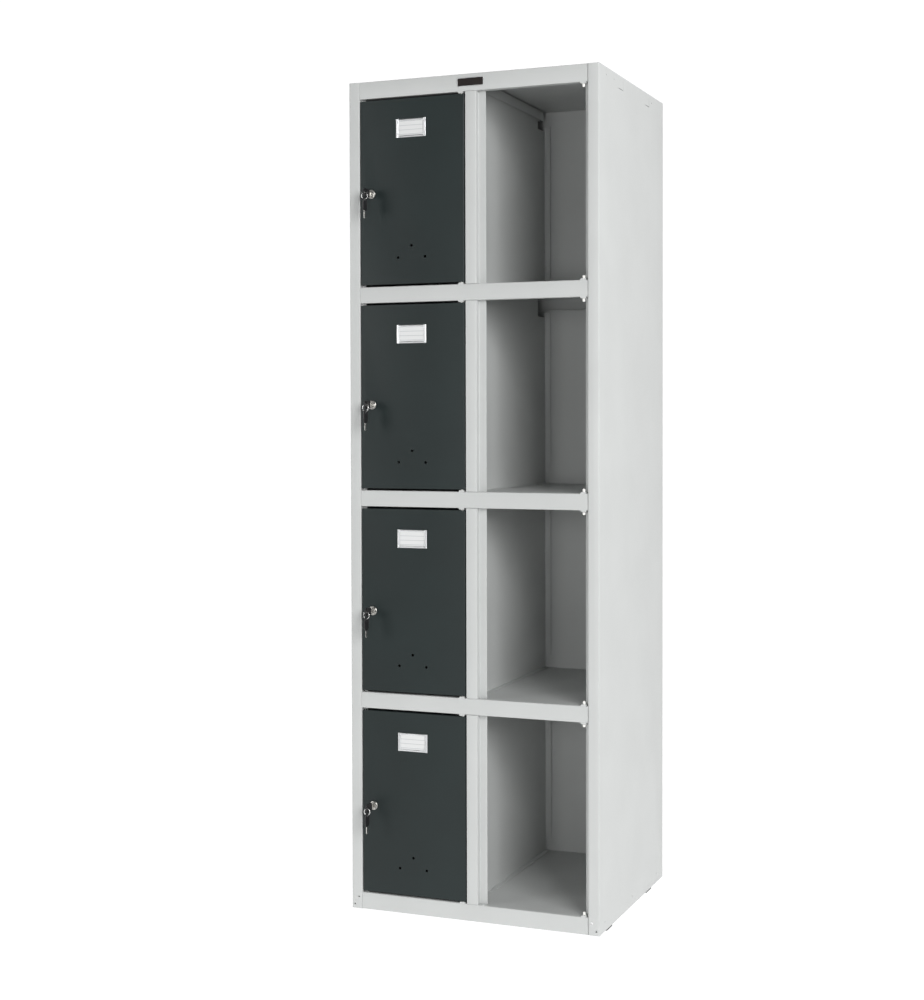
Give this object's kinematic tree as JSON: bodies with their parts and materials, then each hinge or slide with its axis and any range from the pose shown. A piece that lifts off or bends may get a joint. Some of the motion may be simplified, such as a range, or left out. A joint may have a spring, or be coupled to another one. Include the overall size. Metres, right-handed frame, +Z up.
{
  "type": "locker cabinet",
  "caption": "Tall folded-steel locker cabinet: a column of small lockable hinged doors with cam locks beside a column of open niches.",
  "frame": {"origin": "on the floor, under the centre of the outer box (keys included)", "axes": "+Z up, the doors and niches face -Y, +X to the right seen from the front"},
  "size_m": [0.575, 0.5454, 1.83],
  "materials": {
    "light_grey_paint": "light grey powder coat, semi-gloss, fine orange peel",
    "anthracite_paint": "anthracite powder coat, semi-matt",
    "nickel_plate": "bright nickel plate on zinc die casting",
    "zinc_plate": "zinc-plated pressed steel",
    "satin_aluminium": "satin pressed metal",
    "chrome_wire": "polished spring wire",
    "black_plastic": "moulded black plastic",
    "white_nylon": "moulded nylon, slightly waxy",
    "black_rubber": "moulded black polyethylene",
    "dark_plate": "plain dark badge plate without any text"
  },
  "bodies": {
    "carcass": {"side_panel_left": "light_grey_paint", "side_panel_right": "light_grey_paint", "back_panel": "light_grey_paint", "roof_panel": "light_grey_paint", "roof_channel": "light_grey_paint", "base_panel": "light_grey_paint", "divider_1": "light_grey_paint", "shelf_1": "light_grey_paint", "divider_2": "light_grey_paint", "shelf_2": "light_grey_paint", "divider_3": "light_grey_paint", "shelf_3": "light_grey_paint", "divider_4": "light_grey_paint", "hinge_pin_left_top": "white_nylon", "hinge_pin_left_1": "white_nylon", "hinge_pin_left_2": "white_nylon", "hinge_pin_left_3": "white_nylon", "hinge_pin_left_base": "white_nylon", "hinge_pin_right_top": "white_nylon", "hinge_pin_right_1": "white_nylon", "hinge_pin_right_2": "white_nylon", "hinge_pin_right_3": "white_nylon", "hinge_pin_right_base": "white_nylon", "foot_left_front": "black_rubber", "foot_left_rear": "black_rubber", "foot_right_front": "black_rubber", "foot_right_rear": "black_rubber", "name_plate": "dark_plate"},
    "door_1_leaf": {"door_1": "anthracite_paint", "label_holder_1": "satin_aluminium", "lock_barrel_1": "nickel_plate"},
    "lock_1_core": {"lock_plug_1": "nickel_plate", "lock_cam_1": "zinc_plate", "key_1": "black_plastic"},
    "ring_1": {"key_ring_1": "chrome_wire"},
    "spare_1": {"spare_key_1": "black_plastic"},
    "door_2_leaf": {"door_2": "anthracite_paint", "label_holder_2": "satin_aluminium", "lock_barrel_2": "nickel_plate"},
    "lock_2_core": {"lock_plug_2": "nickel_plate", "lock_cam_2": "zinc_plate", "key_2": "black_plastic"},
    "ring_2": {"key_ring_2": "chrome_wire"},
    "spare_2": {"spare_key_2": "black_plastic"},
    "door_3_leaf": {"door_3": "anthracite_paint", "label_holder_3": "satin_aluminium", "lock_barrel_3": "nickel_plate"},
    "lock_3_core": {"lock_plug_3": "nickel_plate", "lock_cam_3": "zinc_plate", "key_3": "black_plastic"},
    "ring_3": {"key_ring_3": "chrome_wire"},
    "spare_3": {"spare_key_3": "black_plastic"},
    "door_4_leaf": {"door_4": "anthracite_paint", "label_holder_4": "satin_aluminium", "lock_barrel_4": "nickel_plate"},
    "lock_4_core": {"lock_plug_4": "nickel_plate", "lock_cam_4": "zinc_plate", "key_4": "black_plastic"},
    "ring_4": {"key_ring_4": "chrome_wire"},
    "spare_4": {"spare_key_4": "black_plastic"}
  },
  "joints": [
    {"name": "door_1_hinge", "type": "hinge", "parent": "carcass", "child": "door_1_leaf", "pos_m": [-0.0235, -0.2208, 1.58686], "axis": [0, 0, 1], "range_deg": [0, 110]},
    {"name": "lock_1_turn", "type": "hinge", "parent": "door_1_leaf", "child": "lock_1_core", "pos_m": [-0.234, -0.2273, 1.584], "axis": [0, -1, 0], "range_deg": [0, 90]},
    {"name": "ring_1_hang", "type": "hinge", "parent": "lock_1_core", "child": "ring_1", "pos_m": [-0.234, -0.2625, 1.57775], "axis": [0, -1, 0], "range_deg": [-90, 0]},
    {"name": "spare_1_swing", "type": "hinge", "parent": "ring_1", "child": "spare_1", "pos_m": [-0.234, -0.2625, 1.56975], "axis": [1, 0, 0], "range_deg": [-20, 20]},
    {"name": "door_2_hinge", "type": "hinge", "parent": "carcass", "child": "door_2_leaf", "pos_m": [-0.0235, -0.2208, 1.14009], "axis": [0, 0, 1], "range_deg": [0, 110]},
    {"name": "lock_2_turn", "type": "hinge", "parent": "door_2_leaf", "child": "lock_2_core", "pos_m": [-0.234, -0.2273, 1.12252], "axis": [0, -1, 0], "range_deg": [0, 90]},
    {"name": "ring_2_hang", "type": "hinge", "parent": "lock_2_core", "child": "ring_2", "pos_m": [-0.234, -0.2625, 1.11627], "axis": [0, -1, 0], "range_deg": [-90, 0]},
    {"name": "spare_2_swing", "type": "hinge", "parent": "ring_2", "child": "spare_2", "pos_m": [-0.234, -0.2625, 1.10827], "axis": [1, 0, 0], "range_deg": [-20, 20]},
    {"name": "door_3_hinge", "type": "hinge", "parent": "carcass", "child": "door_3_leaf", "pos_m": [-0.0235, -0.2208, 0.69331], "axis": [0, 0, 1], "range_deg": [0, 110]},
    {"name": "lock_3_turn", "type": "hinge", "parent": "door_3_leaf", "child": "lock_3_core", "pos_m": [-0.234, -0.2273, 0.66895], "axis": [0, -1, 0], "range_deg": [0, 90]},
    {"name": "ring_3_hang", "type": "hinge", "parent": "lock_3_core", "child": "ring_3", "pos_m": [-0.234, -0.2625, 0.6627], "axis": [0, -1, 0], "range_deg": [-90, 0]},
    {"name": "spare_3_swing", "type": "hinge", "parent": "ring_3", "child": "spare_3", "pos_m": [-0.234, -0.2625, 0.6547], "axis": [1, 0, 0], "range_deg": [-20, 20]},
    {"name": "door_4_hinge", "type": "hinge", "parent": "carcass", "child": "door_4_leaf", "pos_m": [-0.0235, -0.2208, 0.24654], "axis": [0, 0, 1], "range_deg": [0, 110]},
    {"name": "lock_4_turn", "type": "hinge", "parent": "door_4_leaf", "child": "lock_4_core", "pos_m": [-0.234, -0.2273, 0.23708], "axis": [0, -1, 0], "range_deg": [0, 90]},
    {"name": "ring_4_hang", "type": "hinge", "parent": "lock_4_core", "child": "ring_4", "pos_m": [-0.234, -0.2625, 0.23083], "axis": [0, -1, 0], "range_deg": [-90, 0]},
    {"name": "spare_4_swing", "type": "hinge", "parent": "ring_4", "child": "spare_4", "pos_m": [-0.234, -0.2625, 0.22282], "axis": [1, 0, 0], "range_deg": [-20, 20]}
  ],
  "couplings": [
    {"joint": "ring_1_hang", "follows": "lock_1_turn", "ratio": -1},
    {"joint": "ring_2_hang", "follows": "lock_2_turn", "ratio": -1},
    {"joint": "ring_3_hang", "follows": "lock_3_turn", "ratio": -1},
    {"joint": "ring_4_hang", "follows": "lock_4_turn", "ratio": -1}
  ]
}
